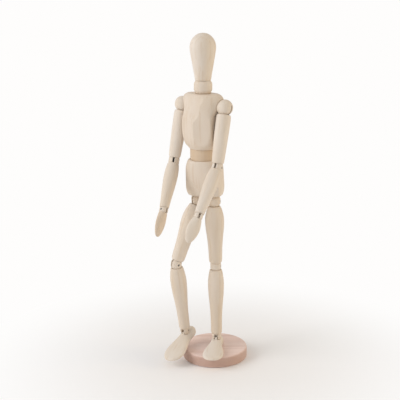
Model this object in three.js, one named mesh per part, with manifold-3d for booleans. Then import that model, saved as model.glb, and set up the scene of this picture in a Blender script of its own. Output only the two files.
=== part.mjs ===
import * as THREE from "three";
import { mergeVertices } from "three/addons/utils/BufferGeometryUtils.js";
import Module from "manifold-3d";

const wasm = await Module();
wasm.setup();

// A jointed wooden drawing mannequin on a round stand.
// Millimetres, +Z up. The figure faces -Y and its own left side is +X.

// Clearances
const fitGap = 0.3;
const pinGap = 0.22;
const boreGap = 0.3;

// Stand
const baseRadius = 32;
const baseThickness = 10.5;
const baseEdge = 1.3;
const pegX = 1.6;
const pegY = -6.1;
const pegRadius = 1.5;
const pegInBase = 7;
const pegInFoot = 6;

// Spans from joint centre to joint centre
const ankleHeight = 12.3;
const shinSpan = 72.5;
const thighSpan = 65.6;
const hipOffset = 8.4;
const pelvisSpan = 46.1;
const chestSpan = 61.5;
const shoulderOffset = 23;
const shoulderDrop = 17.4;
const upperArmSpan = 53.7;
const forearmSpan = 50.4;
const handReach = 25.2;
const headReach = 47.4;

// Bead radius, and how far from the bead's centre the limb ends stop
const neckBead = 8.8;
const neckStop = 6;
const waistBead = 13.6;
const waistStop = 5.4;
const shoulderBall = 7.4;
const shoulderStop = 6.2;
const elbowBead = 5.6;
const elbowStop = 3.6;
const wristBead = 4.3;
const wristStop = 2.5;
const hipBead = 6.5;
const hipStop = 5.3;
const kneeBead = 5.7;
const kneeStop = 3.6;
const ankleBead = 5;
const ankleStop = 2.8;

// Beads are turned to a barrel: the girth is the radius that is left round the middle
const neckGirth = 8.4;
const waistGirth = 12.9;
const elbowGirth = 5.1;
const wristGirth = 4.1;
const hipGirth = 6.1;
const kneeGirth = 5.3;
const ankleGirth = 4.8;

// Steel inside the joints
const pinRadius = 0.8;
const pinInset = 0.4;
const eyeRadius = 1.9;
const strapThickness = 0.45;
const strapWidth = 2.3;
const strapOffset = 0.36;
const shankRadius = 1.2;
const slitWidth = 1.7;
const bridgeHalf = 1.5;
const slitBack = 2.4;
const shankDepth = 16;

// Wooden tongues of the hands and feet, and the tenons of their beads
const handTongue = 1.2;
const footTongue = 2;
const handSlit = handTongue + 2 * fitGap;
const footSlit = footTongue + 4 * fitGap;
const wristTenon = 1.7;
const ankleTenon = 2;
const tenonLength = 11;

// Springs
const springWire = 0.45;
const springRadius = 1.75;
const springPitch = 4.2;
const springSteps = 8;
const wireSides = 5;

// Facets round a turned piece
const limbSides = 14;
const bodySides = 20;
const baseSides = 36;
const rodSides = 8;
const ballBands = 8;

// Pose of the photograph, in degrees
const pose = {
  footTurn: -10,
  leftAnkle: 2.1,
  leftAnkleTurn: -7.9,
  leftKnee: 2.4,
  leftHipBend: 2.2,
  leftHipTurn: -4.2,
  waistSide: 1.5,
  waistBend: -0.2,
  waistTwist: -11.8,
  neckSide: 0.4,
  neckNod: -0.4,
  neckTurn: 10,
  rightHipTurn: -37.3,
  rightHipBend: -24.3,
  rightKnee: 28.8,
  rightAnkleTurn: 31,
  rightAnkle: 6,
  left: { spin: -16.4, swing: 1.1, twist: 4.6, elbow: -29, turn: 40, hand: 4.8 },
  right: { spin: -14.5, swing: 2.2, twist: 28.5, elbow: -27, turn: 56, hand: 3 },
};

const axisX = new THREE.Vector3(1, 0, 0);
const axisY = new THREE.Vector3(0, 1, 0);
const axisZ = new THREE.Vector3(0, 0, 1);

function solidOf(geometry) {
  const bare = geometry.clone();
  for (const key of Object.keys(bare.attributes)) {
    if (key !== "position") bare.deleteAttribute(key);
  }
  const merged = mergeVertices(bare, 1e-5);
  return new wasm.Manifold(
    new wasm.Mesh({
      numProp: 3,
      vertProperties: new Float32Array(merged.attributes.position.array),
      triVerts: new Uint32Array(merged.index.array),
    }),
  );
}

// Skin over closed rings of points, each ring counter-clockwise about the way the rings advance
function loft(rings) {
  const count = rings[0].length;
  const points = rings.flat().flatMap((p) => [p.x, p.y, p.z]);
  const faces = [];
  for (let i = 0; i + 1 < rings.length; i += 1) {
    for (let j = 0; j < count; j += 1) {
      const k = (j + 1) % count;
      const low = i * count;
      const high = low + count;
      faces.push(low + j, low + k, high + k, low + j, high + k, high + j);
    }
  }
  for (const [ring, start, flip] of [
    [rings[0], 0, true],
    [rings[rings.length - 1], (rings.length - 1) * count, false],
  ]) {
    const middle = new THREE.Vector3();
    ring.forEach((p) => middle.addScaledVector(p, 1 / count));
    const centre = points.length / 3;
    points.push(middle.x, middle.y, middle.z);
    for (let j = 0; j < count; j += 1) {
      const k = (j + 1) % count;
      faces.push(centre, start + (flip ? k : j), start + (flip ? j : k));
    }
  }
  const geometry = new THREE.BufferGeometry();
  geometry.setAttribute("position", new THREE.Float32BufferAttribute(points, 3));
  geometry.setIndex(faces);
  return solidOf(geometry);
}

// One level of a body: half width, front and back depth, sharpness of its front ridge, and squareness
function level(z, halfWidth, front, back, ridge, sides, square = 0) {
  return Array.from({ length: sides }, (_, i) => {
    const angle = (2 * Math.PI * i) / sides;
    const across = Math.sign(Math.sin(angle)) * Math.abs(Math.sin(angle)) ** (1 - square);
    const along = Math.sign(Math.cos(angle)) * Math.abs(Math.cos(angle)) ** (1 - square);
    const keel = (1 - ridge) * along + ridge * (1 - Math.abs(across));
    const y = along > 0 ? -front * keel : -back * along;
    return new THREE.Vector3(halfWidth * across, y, z);
  });
}

const turned = (profile, sides) => loft(profile.map(([z, r]) => level(z, r, r, r, 0, sides)));

const rod = (radius, from, to, sides = rodSides) =>
  turned([[from, radius], [to, radius]], sides);

const rodAlongX = (radius, from, to, sides = rodSides) =>
  rod(radius, from, to, sides).rotate([0, 90, 0]);

const rodAlongY = (radius, from, to, sides = rodSides) =>
  rod(radius, from, to, sides).rotate([-90, 0, 0]);

function block(x0, x1, y0, y1, z0, z1) {
  const geometry = new THREE.BoxGeometry(x1 - x0, y1 - y0, z1 - z0);
  geometry.translate((x0 + x1) / 2, (y0 + y1) / 2, (z0 + z1) / 2);
  return solidOf(geometry);
}

function ball(radius, sides = limbSides) {
  const profile = [];
  for (let i = 0; i <= ballBands; i += 1) {
    const angle = Math.PI * (i / ballBands - 0.5);
    profile.push([radius * Math.sin(angle), Math.max(radius * Math.cos(angle), radius * 0.06)]);
  }
  return turned(profile, sides);
}

// Hollow that a ball turns in, sized so that the middles of its facets clear the ball
function cup(radius, sides = limbSides) {
  const facet = Math.cos(Math.PI / sides) * Math.cos(Math.PI / (2 * ballBands));
  return ball((radius + fitGap / 2) / facet, sides);
}

const cutAll = (body, tools) => tools.reduce((left, tool) => left.subtract(tool), body);

const joinAll = (bodies) => bodies.reduce((left, right) => left.add(right));

// Ball turned down to a girth round its middle
const barrel = (radius, girth, sides = limbSides) =>
  ball(radius, sides).intersect(rod(girth, -radius - 1, radius + 1, sides));

// Wooden bead with a slit for two steel straps, open from the front to just behind the pin
function slitBead(radius, girth) {
  const half = slitWidth / 2;
  const far = radius + 1;
  return cutAll(barrel(radius, girth), [
    block(-half, half, -far, slitBack, -far, far),
    rodAlongX(pinRadius + pinGap, -far, far),
  ]);
}

// The same bead for straps that lean backwards: only a bridge is left behind the pin
const bridgedBead = (radius, girth) =>
  slitBead(radius, girth)
    .subtract(block(-slitWidth / 2, slitWidth / 2, 0, radius + 1, bridgeHalf, radius + 1))
    .subtract(block(-slitWidth / 2, slitWidth / 2, 0, radius + 1, -radius - 1, -bridgeHalf));

// Wooden bead with a fork for a wooden tongue below and a round tenon above
function forkBead(radius, girth, slit, tenon) {
  const far = radius + 1;
  const slitTop = eyeRadius + fitGap;
  const body = barrel(radius, girth).add(rod(tenon, radius - 1.2, radius + tenonLength));
  return cutAll(body, [
    block(-slit / 2, slit / 2, -far, far, -far, slitTop),
    rodAlongX(pinRadius + pinGap, -far, far),
  ]);
}

const pin = (girth) => rodAlongX(pinRadius, pinInset - girth, girth - pinInset);

// Flat steel eye round a pin along X, its strap running up +Z
function eye(side, reach) {
  const middle = side * strapOffset;
  const low = middle - strapThickness / 2;
  const high = middle + strapThickness / 2;
  const disc = rodAlongX(eyeRadius, low, high, 12);
  const strap = block(low, high, -strapWidth / 2, strapWidth / 2, 0, reach);
  return disc.add(strap).subtract(rodAlongX(pinRadius + pinGap, low - 1, high + 1));
}

// Eye whose strap runs into a round shank
function eyeBolt(side, radius, length) {
  return eye(side, radius + 2).add(rod(shankRadius, radius + 0.8, length));
}

const shankBore = (from, to) => rod(shankRadius + boreGap + 0.25, from, to);

// Turned limb hanging from its upper joint, with a cup at each end
function limb(profile, span, topCup, bottomCup) {
  const body = turned(profile.map(([drop, r]) => [-drop, r]).reverse(), limbSides);
  return cutAll(body, [cup(topCup), cup(bottomCup).translate([0, 0, -span])]);
}

// Helical spring wound round Z between two heights
function spring(from, to, radius) {
  const curls = (to - from) / springPitch;
  const steps = Math.round(curls * springSteps);
  const rings = [];
  for (let i = 0; i <= steps; i += 1) {
    const turn = (2 * Math.PI * curls * i) / steps;
    const z = from + ((to - from) * i) / steps;
    const outward = new THREE.Vector3(Math.cos(turn), Math.sin(turn), 0);
    const middle = outward.clone().multiplyScalar(radius).setZ(z);
    rings.push(
      Array.from({ length: wireSides }, (_, j) => {
        const a = (-2 * Math.PI * j) / wireSides;
        const p = middle.clone().addScaledVector(outward, springWire * Math.cos(a));
        return p.addScaledVector(axisZ, springWire * Math.sin(a));
      }),
    );
  }
  return loft(rings);
}

const mannequin = new THREE.Group();
mannequin.name = "artist_mannequin";

// A joint group turns everything it carries about one of its own axes
function joint(parent, name, at, axis, degrees) {
  const group = new THREE.Group();
  group.name = name;
  group.position.set(...at);
  group.setRotationFromAxisAngle(axis, THREE.MathUtils.degToRad(degrees));
  group.userData.axis = axis;
  parent.add(group);
  return group;
}

const looks = {
  limewood: { color: 0xdccbb2, roughness: 0.62, metalness: 0 },
  beech: { color: 0xcda994, roughness: 0.58, metalness: 0 },
  steel: { color: 0x8f9195, roughness: 0.38, metalness: 1 },
};

function piece(parent, name, solid, look) {
  const mesh = solid.getMesh();
  const geometry = new THREE.BufferGeometry();
  geometry.setAttribute("position", new THREE.BufferAttribute(new Float32Array(mesh.vertProperties), 3));
  geometry.setIndex(new THREE.BufferAttribute(new Uint32Array(mesh.triVerts), 1));
  geometry.computeVertexNormals();
  const body = new THREE.Mesh(geometry, new THREE.MeshStandardMaterial(looks[look]));
  body.name = name;
  parent.add(body);
  return body;
}

// Profiles of the turned limbs: distance from the upper joint, radius
const upperArmProfile = [
  [shoulderStop, 5.6],
  [shoulderStop + 1, 6.4],
  [shoulderStop + 5, 6.7],
  [22, 6.5],
  [34, 6.1],
  [upperArmSpan - elbowStop - 2, 5.6],
  [upperArmSpan - elbowStop, 5],
];
const forearmProfile = [
  [elbowStop, 5],
  [elbowStop + 1.1, 5.6],
  [9, 6.2],
  [15, 6.5],
  [23, 6.2],
  [32, 5.5],
  [41, 4.7],
  [forearmSpan - wristStop - 1, 4.4],
  [forearmSpan - wristStop, 4],
];
const thighProfile = [
  [hipStop, 5.3],
  [hipStop + 0.8, 6],
  [10, 7.5],
  [15, 8.7],
  [20, 9.1],
  [27, 8.8],
  [36, 7.7],
  [47, 6.7],
  [thighSpan - kneeStop - 2.2, 6.4],
  [thighSpan - kneeStop, 5.2],
];
const shinProfile = [
  [kneeStop, 5.2],
  [kneeStop + 0.9, 6.1],
  [9, 7],
  [15, 7.7],
  [21, 7.8],
  [30, 7.3],
  [40, 6.4],
  [50, 5.7],
  [shinSpan - ankleStop - 1.4, 5.4],
  [shinSpan - ankleStop, 4.8],
];

const upperArm = cutAll(limb(upperArmProfile, upperArmSpan, shoulderBall, elbowBead), [
  shankBore(-shoulderBall - shankDepth - 0.6, 0),
  shankBore(-upperArmSpan, -upperArmSpan + elbowBead + shankDepth + 0.6),
]);
const forearm = cutAll(limb(forearmProfile, forearmSpan, elbowBead, wristBead), [
  shankBore(-elbowBead - shankDepth - 0.6, 0),
  rod(wristTenon + boreGap, -forearmSpan, -forearmSpan + wristBead + tenonLength + 0.6),
]);
const thigh = limb(thighProfile, thighSpan, hipBead, kneeBead).subtract(shankBore(-thighSpan, 0));
const shin = cutAll(limb(shinProfile, shinSpan, kneeBead, ankleBead), [
  shankBore(-kneeBead - shankDepth - 0.6, 0),
  rod(ankleTenon + boreGap, -shinSpan, -shinSpan + ankleBead + tenonLength + 0.6),
]);

// Leaf-shaped hand below its wrist, flexing about X
function handSolid() {
  const levels = [
    [-handReach, 1.6, 0.9, 0.9],
    [-handReach + 1.2, 3.2, 1.6, 1.6],
    [-handReach + 5, 4.9, 2.3, 2.1],
    [-15.5, 5.8, 2.8, 2.4],
    [-10.5, 5.9, 3.2, 2.8],
    [-6, 5, 3.6, 3.3],
    [-wristStop - 0.8, 4.3, 3.9, 3.8],
    [-wristStop, 3.9, 3.8, 3.7],
  ];
  const paddle = loft(levels.map(([z, w, f, b]) => level(z, w, f, b, 0, limbSides)));
  const tongue = block(-handTongue / 2, handTongue / 2, -eyeRadius, eyeRadius, -wristBead - 2, 0);
  const knuckle = rodAlongX(eyeRadius, -handTongue / 2, handTongue / 2, 12);
  const hollow = paddle.subtract(cup(wristBead));
  return joinAll([hollow, tongue, knuckle]).subtract(rodAlongX(pinRadius + pinGap, -3, 3));
}

// Foot below its ankle: flat sole, toe towards -Y
function footSolid() {
  const sole = -ankleHeight;
  const levels = [
    [-12.2, 2.4, sole + 1.6, -6],
    [-10.8, 4.6, sole + 0.5, -3.9],
    [-6, 5.9, sole, -ankleStop],
    [0, 5.8, sole, -ankleStop],
    [5, 6.2, sole, -ankleStop - 0.3],
    [11, 7.6, sole, -4.2],
    [17.5, 9.1, sole, -5.4],
    [24, 9.7, sole, -6.4],
    [29, 8.6, sole + 0.3, -7.4],
    [32.6, 5.9, sole + 0.9, -8.5],
    [34.8, 2.4, sole + 1.9, -9.6],
  ];
  const rings = levels.map(([reach, w, low, high]) => {
    const middle = low + 0.35 * (high - low);
    return level(reach, 1, 1, 1, 0, limbSides).map((p) => {
      const rise = p.y < 0 ? -((-p.y) ** 0.4) * (middle - low) : p.y ** 0.8 * (high - middle);
      return new THREE.Vector3(Math.sign(p.x) * Math.abs(p.x) ** 0.75 * w, middle + rise, reach);
    });
  });
  const shoe = loft(rings).rotate([90, 0, 0]);
  const tongue = block(-footTongue / 2, footTongue / 2, -eyeRadius, eyeRadius, -ankleBead - 2, 0);
  const knuckle = rodAlongX(eyeRadius, -footTongue / 2, footTongue / 2, 12);
  const hollow = shoe.subtract(cup(ankleBead));
  return joinAll([hollow, tongue, knuckle]).subtract(rodAlongX(pinRadius + pinGap, -3, 3));
}

const hand = handSolid();
const foot = footSolid();

// Egg-shaped head above the neck bead
const headProfile = [
  [neckStop, 7.1],
  [neckStop + 0.9, 7.35],
  [11, 8],
  [17, 9.1],
  [24, 10.3],
  [30, 11.3],
  [35, 11.8],
  [39, 11.4],
  [43, 9.5],
  [45.5, 6.8],
  [47, 3.4],
  [headReach, 1],
];
const headTurned = loft(headProfile.map(([z, r]) => level(z, r, r * 1.05, r, 0, bodySides)));
const springHole = springRadius + springWire + boreGap;
const neckSpringTop = 13;
const neckSpringFoot = -10;
const head = cutAll(headTurned, [
  cup(neckBead, bodySides),
  rod(springHole, 0, neckSpringTop + 0.5),
]);

// Flared bore that clears a tilting spring: from the bead's centre down to a depth
const flare = (depth) => turned([[-depth, springHole + 4.1], [-3, springHole + 1]], 12);

const beadBore = (half, widening) =>
  turned([[-half, springHole + widening], [0, springHole + 0.3], [half, springHole + widening]], 12);

const neck = barrel(neckBead, neckGirth, bodySides).subtract(beadBore(neckBead + 1, 3.2));
const waist = barrel(waistBead, waistGirth, bodySides).subtract(beadBore(waistBead + 1, 4.6));

// Chest above the waist bead: two front planes meet in a ridge, and a slope is cut across their top
const shoulderHeight = chestSpan - shoulderDrop;
const chestTop = chestSpan - neckStop;
const chestLevels = [
  [waistStop, 13.3, 13.3, 12.8, 0, 0.05],
  [waistStop + 2, 14.1, 14.2, 12.6, 0.06, 0.25],
  [10.5, 15.2, 15.4, 12.2, 0.13, 0.5],
  [17.5, 15.8, 16.4, 11.6, 0.17, 0.66],
  [26.5, 15.9, 16.8, 11.4, 0.17, 0.72],
  [33.5, 15.8, 16.7, 11.2, 0.17, 0.7],
  [38, 16, 16, 11, 0.2, 0.5],
  [44.5, 19.6, 14.4, 10.6, 0.28, 0.12],
  [49.5, 21.2, 13.2, 9.8, 0.3, 0.04],
  [53, 20.2, 11.8, 9.2, 0.25, 0],
  [chestTop - 0.9, 18, 10.2, 8.6, 0.2, 0],
  [chestTop, 16, 9.2, 8, 0.1, 0],
];
const waistSpringTop = 14;
const waistSpringFoot = -12;
const studReach = 15;
const shoulderSpringHalf = 11.5;
const chestBlank = loft(chestLevels.map(([z, w, f, b, k, q]) => level(z, w, f, b, k, bodySides, q)));
const shoulderBore = joinAll([
  rodAlongX(springHole, -shoulderSpringHalf - 0.4, shoulderSpringHalf + 0.4),
  rodAlongX(shankRadius + boreGap, -shoulderOffset, shoulderOffset),
]).translate([0, 0, shoulderHeight]);
const breastTilt = 17;
const breastPlane = block(-30, 30, -20, 0, -5, 40).rotate([-breastTilt, 0, 0]).translate([0, -16.6, 31.5]);
const chest = cutAll(chestBlank, [
  breastPlane,
  cup(waistBead, bodySides),
  rod(springHole, 0, waistSpringTop + 0.5),
  cup(neckBead, bodySides).translate([0, 0, chestSpan]),
  flare(-neckSpringFoot + 1.5).translate([0, 0, chestSpan]),
  shoulderBore,
  cup(shoulderBall).translate([shoulderOffset, 0, shoulderHeight]),
  cup(shoulderBall).translate([-shoulderOffset, 0, shoulderHeight]),
]);

// Pelvis above the hip beads: two groin planes leave a V-shaped belly between them
const pelvisTop = pelvisSpan - waistStop;
const pelvisLevels = [
  [hipStop, 15.4, 8.4, 8.2, 0.12],
  [6.4, 16.8, 10.2, 9.8, 0.22],
  [9, 17.5, 11.8, 11, 0.28],
  [14, 17.9, 13.2, 12.2, 0.3],
  [23, 17.7, 13.8, 12.6, 0.26],
  [31, 17.5, 14, 13, 0.24],
  [35.6, 16.9, 13.9, 13.4, 0.18],
  [pelvisTop - 1, 15.4, 13.7, 13.4, 0.08],
  [pelvisTop, 13.9, 13.4, 13.3, 0],
];
const pelvisBlank = loft(pelvisLevels.map(([z, w, f, b, q]) => level(z, w, f, b, 0, bodySides, q)));
const hipBore = shankBore(0, hipBead + shankDepth + 0.6);
const groinTilt = 12.3;
const groinTurn = 13.7;
const groinPlane = (side) =>
  block(-30, 30, -20, 0, -30, 14).rotate([groinTilt, 0, side * groinTurn]).translate([0, -13.4, 12]);
const pelvis = cutAll(pelvisBlank, [
  groinPlane(1),
  groinPlane(-1),
  cup(waistBead, bodySides).translate([0, 0, pelvisSpan]),
  flare(-waistSpringFoot + 1.5).translate([0, 0, pelvisSpan]),
  hipBore.translate([hipOffset, 0, 0]),
  hipBore.translate([-hipOffset, 0, 0]),
  cup(hipBead).translate([hipOffset, 0, 0]),
  cup(hipBead).translate([-hipOffset, 0, 0]),
]);

// Shoulder ball: the slit opens downwards and outwards so that the arm can lift sideways.
// Its pin goes in from the back and stops short of the front.
const shoulderPinFront = -5;
function shoulderBallSolid(side) {
  const far = shoulderBall + 1;
  const half = slitWidth / 2;
  const inner = -slitBack;
  const body = cutAll(ball(shoulderBall), [
    block(inner, far, -half, half, -far, slitBack),
    rodAlongX(shankRadius + boreGap + 0.25, -far, 0),
  ]);
  const turnedBody = side > 0 ? body : body.rotate([0, 0, 180]);
  return turnedBody.subtract(rodAlongY(pinRadius + pinGap, shoulderPinFront - fitGap, far));
}

// Stand and standing leg
const pegHole = rod(pegRadius + fitGap, baseThickness - pegInBase - 0.3, baseThickness + 1, 12);
piece(
  mannequin,
  "base",
  turned(
    [
      [0, baseRadius - 0.8],
      [0.8, baseRadius],
      [baseThickness - baseEdge, baseRadius],
      [baseThickness - 0.35 * baseEdge, baseRadius - 0.35 * baseEdge],
      [baseThickness, baseRadius - baseEdge],
    ],
    baseSides,
  ).subtract(pegHole.translate([pegX, pegY, 0])),
  "beech",
);
const peg = rod(pegRadius, baseThickness - pegInBase, baseThickness + fitGap + pegInFoot, 12);
piece(mannequin, "base_peg", peg.translate([pegX, pegY, 0]), "steel");

const soleSeat = baseThickness + fitGap;
const leftFoot = joint(mannequin, "left_foot_swivel", [pegX, pegY, soleSeat], axisZ, pose.footTurn);
const pegBore = rod(pegRadius + fitGap, -1, pegInFoot + 0.3, 12);
piece(leftFoot, "left_foot", foot.translate([0, 0, ankleHeight]).subtract(pegBore), "limewood");

const thighLink = joinAll([
  eye(-1, hipBead + 2).rotate([180, 0, 0]),
  rod(shankRadius, -thighSpan + kneeBead + 0.8, -hipBead - 0.8),
  eye(1, kneeBead + 2).translate([0, 0, -thighSpan]),
]);
const strapBelow = (bead) => eyeBolt(-1, bead, bead + shankDepth).rotate([180, 0, 0]);

function shinPieces(parent, side) {
  piece(parent, `${side}_shin`, shin, "limewood");
  piece(parent, `${side}_shin_strap`, strapBelow(kneeBead), "steel");
}

function anklePieces(parent, side) {
  piece(parent, `${side}_ankle_bead`, forkBead(ankleBead, ankleGirth, footSlit, ankleTenon), "limewood");
  piece(parent, `${side}_ankle_pin`, pin(ankleGirth), "steel");
}

function kneePieces(parent, side) {
  const straight = slitBead(kneeBead, kneeGirth).rotate([0, 0, 180]);
  const bead = side === "left" ? straight : bridgedBead(kneeBead, kneeGirth);
  piece(parent, `${side}_knee_bead`, bead, "limewood");
  piece(parent, `${side}_knee_pin`, pin(kneeGirth), "steel");
}

function thighPieces(parent, side) {
  piece(parent, `${side}_thigh`, thigh, "limewood");
  piece(parent, `${side}_thigh_link`, thighLink, "steel");
}

function hipPieces(parent, side) {
  const bead = slitBead(hipBead, hipGirth);
  piece(parent, `${side}_hip_bead`, side === "left" ? bead.rotate([0, 0, 180]) : bead, "limewood");
  piece(parent, `${side}_hip_pin`, pin(hipGirth), "steel");
  piece(parent, `${side}_hip_stud`, eyeBolt(1, hipBead, hipBead + shankDepth), "steel");
}

// A limb solid hangs from its upper joint, so in the standing leg it is raised onto its lower joint
function raised(parent, span) {
  const group = new THREE.Group();
  group.position.set(0, 0, span);
  parent.add(group);
  return group;
}

const leftAnkle = joint(leftFoot, "left_ankle", [0, 0, ankleHeight], axisX, pose.leftAnkle);
anklePieces(leftAnkle, "left");
const leftShin = joint(leftAnkle, "left_ankle_turn", [0, 0, 0], axisZ, pose.leftAnkleTurn);
shinPieces(raised(leftShin, shinSpan), "left");
kneePieces(raised(leftShin, shinSpan), "left");
const leftThigh = joint(leftShin, "left_knee", [0, 0, shinSpan], axisX, pose.leftKnee);
thighPieces(raised(leftThigh, thighSpan), "left");
const leftHip = joint(leftThigh, "left_hip_bend", [0, 0, thighSpan], axisX, pose.leftHipBend);
hipPieces(leftHip, "left");
const hipTurn = joint(leftHip, "left_hip_turn", [0, 0, 0], axisZ, pose.leftHipTurn);
const pelvisFrame = new THREE.Group();
pelvisFrame.position.set(-hipOffset, 0, 0);
hipTurn.add(pelvisFrame);
piece(pelvisFrame, "pelvis", pelvis, "limewood");

// Free leg
const rightHip = joint(pelvisFrame, "right_hip_turn", [-hipOffset, 0, 0], axisZ, pose.rightHipTurn);
hipPieces(rightHip, "right");
const rightThigh = joint(rightHip, "right_hip_bend", [0, 0, 0], axisX, pose.rightHipBend);
thighPieces(rightThigh, "right");
const rightKnee = new THREE.Group();
rightKnee.position.set(0, 0, -thighSpan);
rightKnee.rotation.x = THREE.MathUtils.degToRad(pose.rightKnee / 2);
rightThigh.add(rightKnee);
kneePieces(rightKnee, "right");
const rightShin = joint(rightKnee, "right_knee", [0, 0, 0], axisX, pose.rightKnee / 2);
shinPieces(rightShin, "right");
const rightAnkle = joint(rightShin, "right_ankle_turn", [0, 0, -shinSpan], axisZ, pose.rightAnkleTurn);
anklePieces(rightAnkle, "right");
const rightFoot = joint(rightAnkle, "right_ankle", [0, 0, 0], axisX, pose.rightAnkle);
piece(rightFoot, "right_foot", foot, "limewood");

// Trunk
const waistTilt = joint(pelvisFrame, "waist_side", [0, 0, pelvisSpan], axisY, pose.waistSide);
piece(waistTilt, "waist_bead", waist, "limewood");
const waistBow = joint(waistTilt, "waist_bend", [0, 0, 0], axisX, pose.waistBend);
piece(waistBow, "waist_spring", spring(waistSpringFoot, waistSpringTop, springRadius), "steel");
const trunk = joint(waistBow, "waist_twist", [0, 0, 0], axisZ, pose.waistTwist);
piece(trunk, "chest", chest, "limewood");
const crossSpring = spring(-shoulderSpringHalf, shoulderSpringHalf, springRadius).rotate([0, 90, 0]);
piece(trunk, "shoulder_spring", crossSpring.translate([0, 0, shoulderHeight]), "steel");

const neckTilt = joint(trunk, "neck_side", [0, 0, chestSpan], axisY, pose.neckSide);
piece(neckTilt, "neck_bead", neck, "limewood");
const neckBow = joint(neckTilt, "neck_nod", [0, 0, 0], axisX, pose.neckNod);
piece(neckBow, "neck_spring", spring(neckSpringFoot, neckSpringTop, springRadius), "steel");
const headTurn = joint(neckBow, "neck_turn", [0, 0, 0], axisZ, pose.neckTurn);
piece(headTurn, "head", head, "limewood");

// Arms
const shoulderPin = rodAlongY(pinRadius, shoulderPinFront, shoulderBall - pinInset);
for (const [side, sign] of [["left", 1], ["right", -1]]) {
  const angles = pose[side];
  const at = [sign * shoulderOffset, 0, shoulderHeight];
  const shoulder = joint(trunk, `${side}_shoulder_spin`, at, axisX, angles.spin);
  piece(shoulder, `${side}_shoulder_ball`, shoulderBallSolid(sign), "limewood");
  piece(shoulder, `${side}_shoulder_pin`, shoulderPin, "steel");
  const stud = eyeBolt(-1, shoulderBall - 4, studReach).rotate([0, -90, 0]).rotate([90, 0, 0]);
  piece(shoulder, `${side}_shoulder_stud`, sign > 0 ? stud : stud.rotate([0, 0, 180]), "steel");

  const hook = joint(shoulder, `${side}_shoulder_swing`, [0, 0, 0], axisY, -sign * angles.swing);
  const hookSolid = strapBelow(shoulderBall).rotate([0, 0, sign * 90]);
  piece(hook, `${side}_arm_hook`, hookSolid, "steel");

  const arm = joint(hook, `${side}_arm_twist`, [0, 0, 0], axisZ, angles.twist);
  piece(arm, `${side}_upper_arm`, upperArm, "limewood");
  const elbowStrap = eyeBolt(1, elbowBead, elbowBead + shankDepth);
  piece(arm, `${side}_upper_arm_strap`, elbowStrap.translate([0, 0, -upperArmSpan]), "steel");

  const elbow = joint(arm, `${side}_elbow_roll`, [0, 0, -upperArmSpan], axisX, angles.elbow / 2);
  piece(elbow, `${side}_elbow_bead`, slitBead(elbowBead, elbowGirth), "limewood");
  piece(elbow, `${side}_elbow_pin`, pin(elbowGirth), "steel");
  const lower = joint(elbow, `${side}_elbow`, [0, 0, 0], axisX, angles.elbow / 2);
  piece(lower, `${side}_forearm`, forearm, "limewood");
  piece(lower, `${side}_forearm_strap`, strapBelow(elbowBead), "steel");

  const wrist = joint(lower, `${side}_wrist_turn`, [0, 0, -forearmSpan], axisZ, angles.turn);
  piece(wrist, `${side}_wrist_bead`, forkBead(wristBead, wristGirth, handSlit, wristTenon), "limewood");
  piece(wrist, `${side}_wrist_pin`, pin(wristGirth), "steel");
  const palm = joint(wrist, `${side}_hand_bend`, [0, 0, 0], axisX, angles.hand);
  piece(palm, `${side}_hand`, hand, "limewood");
}

export default mannequin;
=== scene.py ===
import math

import bmesh
import bpy
from mathutils import Matrix, Vector


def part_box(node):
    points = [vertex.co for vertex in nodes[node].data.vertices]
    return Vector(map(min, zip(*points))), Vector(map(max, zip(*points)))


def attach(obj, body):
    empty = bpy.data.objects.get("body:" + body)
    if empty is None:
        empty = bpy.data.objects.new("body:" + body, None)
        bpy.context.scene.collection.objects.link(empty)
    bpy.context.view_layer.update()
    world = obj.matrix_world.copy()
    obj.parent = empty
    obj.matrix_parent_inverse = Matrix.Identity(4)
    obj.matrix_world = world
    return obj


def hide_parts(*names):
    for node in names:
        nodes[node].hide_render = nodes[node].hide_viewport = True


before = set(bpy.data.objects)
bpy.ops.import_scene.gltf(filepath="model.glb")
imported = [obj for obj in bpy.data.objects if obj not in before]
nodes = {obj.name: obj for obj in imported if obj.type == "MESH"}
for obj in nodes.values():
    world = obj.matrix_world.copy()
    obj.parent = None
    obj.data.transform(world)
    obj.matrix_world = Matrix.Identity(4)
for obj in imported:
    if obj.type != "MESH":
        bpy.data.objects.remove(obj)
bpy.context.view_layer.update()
print("frame loaded:", len(nodes), "nodes")

# shapes are written in millimetres, each in its own piece's place, and moved into the frame in metres
toMetres = Matrix.Scale(0.001, 4)

# joint to joint spans of the figure, mm
spans = dict(
    ankleHeight=12.3, shin=72.5, thigh=65.6, hipOffset=8.4, pelvis=46.1, chest=61.5,
    shoulderOffset=23.0, shoulderHeight=44.1, upperArm=53.7, forearm=50.4,
    soleSeat=10.8, pegX=1.6, pegY=-6.1,
)

# angles that the figure stands at, degrees
stance = dict(
    footTurn=-10.0, leftAnkle=2.1, leftAnkleTurn=-7.9, leftKnee=2.4, leftHipBend=2.2, leftHipTurn=-4.2,
    waistSide=1.5, waistBend=-0.2, waistTwist=-11.8, neckSide=0.4, neckNod=-0.4, neckTurn=10.0,
    rightHipTurn=-37.3, rightHipBend=-24.3, rightKnee=28.8, rightAnkleTurn=31.0, rightAnkle=6.0,
    leftSpin=-16.4, leftSwing=1.1, leftTwist=4.6, leftElbow=-29.0, leftTurn=40.0, leftHand=4.8,
    rightSpin=-14.5, rightSwing=2.2, rightTwist=28.5, rightElbow=-27.0, rightTurn=56.0, rightHand=3.0,
)


def turn(axis, degrees):
    return Matrix.Rotation(math.radians(degrees), 4, axis)


def shift(x, y, z):
    return Matrix.Translation((x, y, z))


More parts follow.
